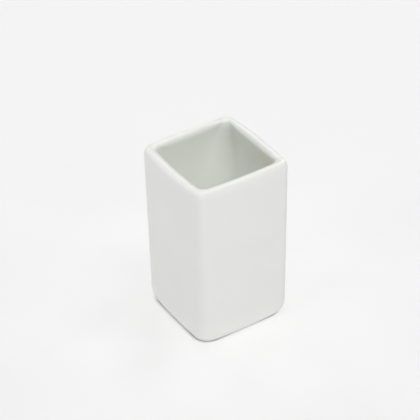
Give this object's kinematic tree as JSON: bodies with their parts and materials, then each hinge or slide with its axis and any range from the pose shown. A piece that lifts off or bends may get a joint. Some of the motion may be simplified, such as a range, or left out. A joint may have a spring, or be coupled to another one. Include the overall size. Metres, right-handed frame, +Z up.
{
  "type": "pen cup",
  "caption": "Open-topped square porcelain cup with gently bulging walls and a rounded lip, standing on soft foot pads. It holds pens upright on a desk.",
  "frame": {"origin": "on the table, under the middle of the cup, where the vertical centre line meets the plane of the foot pads' undersides", "axes": "+Z up along the cup's centre line, X and Y square to the walls, -Y the front"},
  "size_m": [0.06, 0.06, 0.1015],
  "materials": {
    "glazed_porcelain": "clear gloss glaze over white porcelain, glaze wiped off the foot ring",
    "pad_silicone": "milky soft silicone, matt"
  },
  "bodies": {
    "root": {"cup_body": "glazed_porcelain", "foot_pad_front_left": "pad_silicone", "foot_pad_front_right": "pad_silicone", "foot_pad_back_left": "pad_silicone", "foot_pad_back_right": "pad_silicone"}
  },
  "joints": []
}
